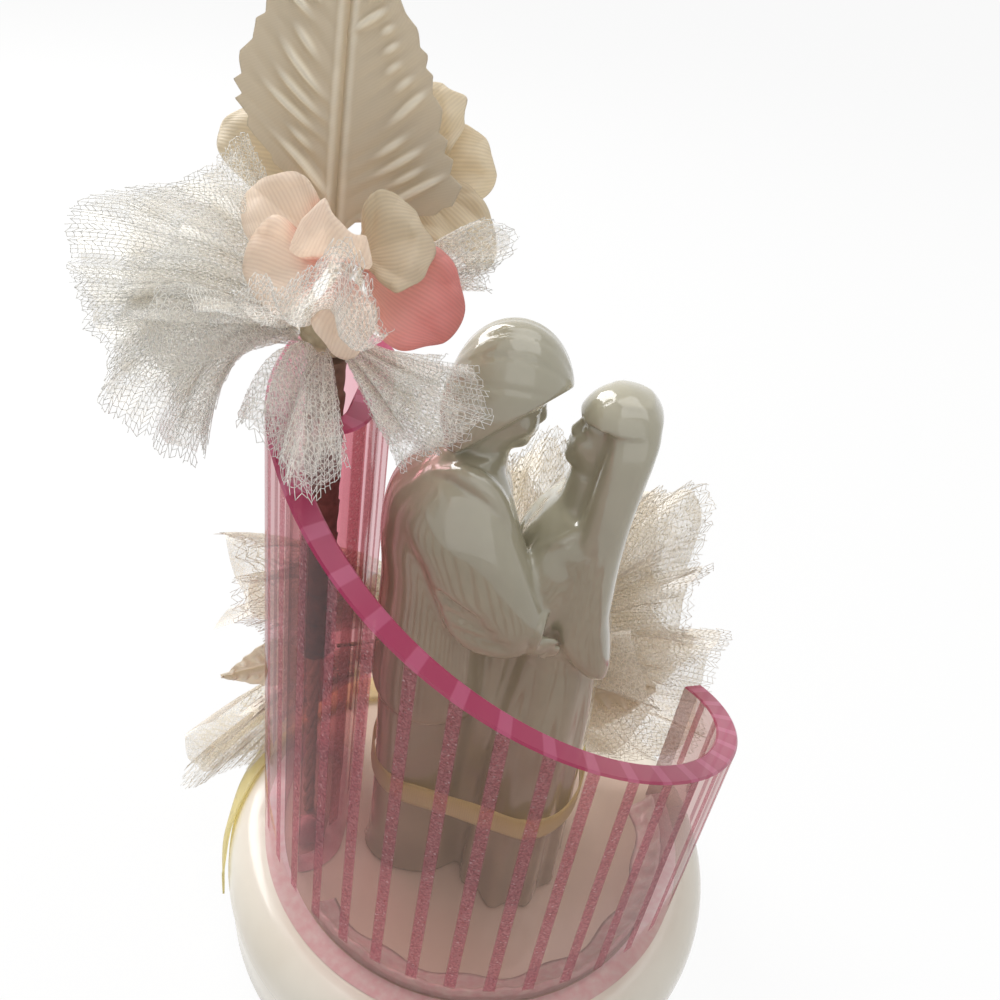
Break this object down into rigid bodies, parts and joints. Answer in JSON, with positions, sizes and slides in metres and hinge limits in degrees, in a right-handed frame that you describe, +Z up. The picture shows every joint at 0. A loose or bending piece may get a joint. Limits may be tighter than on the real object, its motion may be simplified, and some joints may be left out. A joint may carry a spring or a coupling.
{
  "type": "wedding cake topper",
  "caption": "Embracing porcelain couple in a rolled pink acrylic scroll on a round base, with a lift-out satin and tulle flower spray",
  "frame": {"origin": "middle of the topper's footprint box on the surface that it stands on", "axes": "+Z up; -Y is the front that the slanting scroll faces, and +X is to the right of that front, away from the column and its spray"},
  "size_m": [0.1238, 0.1052, 0.1914],
  "materials": {
    "base_plastic": "gloss",
    "acrylic": "gloss",
    "cement": "gloss",
    "porcelain": "gloss",
    "ribbon_satin": "satin",
    "stem_tape": "matte",
    "stem_wire": "matte",
    "leaf_satin": "satin",
    "petal_cream": "satin",
    "petal_peach": "satin",
    "petal_salmon": "satin",
    "tulle": "matte"
  },
  "bodies": {
    "stand": {"base": "base_plastic", "acrylic_scroll": "acrylic", "scroll_cement_bead": "cement", "curl_cement_dab": "cement", "couple_figurine": "porcelain", "ribbon_band": "ribbon_satin", "ribbon_knot": "ribbon_satin", "ribbon_tail": "ribbon_satin", "tulle_back_left_low": "tulle", "tulle_back_left_high": "tulle", "tulle_back_centre": "tulle", "tulle_back_right_high": "tulle", "tulle_back_right_low": "tulle", "back_leaf_left": "leaf_satin", "back_leaf_wire_left": "stem_wire", "back_leaf_right": "leaf_satin", "back_leaf_wire_right": "stem_wire"},
    "top_spray": {"spray_stem": "stem_tape", "spray_wire_leg": "stem_wire", "spray_binding": "stem_tape", "large_leaf": "leaf_satin", "leaf_wire": "stem_wire", "rose_core": "petal_peach", "rose_stalk": "stem_wire", "rose_petal_1": "petal_peach", "rose_petal_2": "petal_salmon", "rose_petal_3": "petal_cream", "rose_petal_4": "petal_salmon", "rose_petal_5": "petal_cream", "rose_petal_6": "petal_peach", "blossom_core": "petal_cream", "blossom_stalk": "stem_wire", "blossom_petal_1": "petal_cream", "blossom_petal_2": "petal_cream", "blossom_petal_3": "petal_cream", "blossom_petal_4": "petal_cream", "blossom_petal_5": "petal_cream", "tulle_left_upper": "tulle", "tulle_left_lower": "tulle", "tulle_front_drape": "tulle", "tulle_right_drape": "tulle", "tulle_right_upper": "tulle"}
  },
  "joints": [
    {"name": "spray_lift", "type": "slide", "parent": "stand", "child": "top_spray", "axis": [0, 0, 1], "range_m": [0, 0.11]}
  ]
}
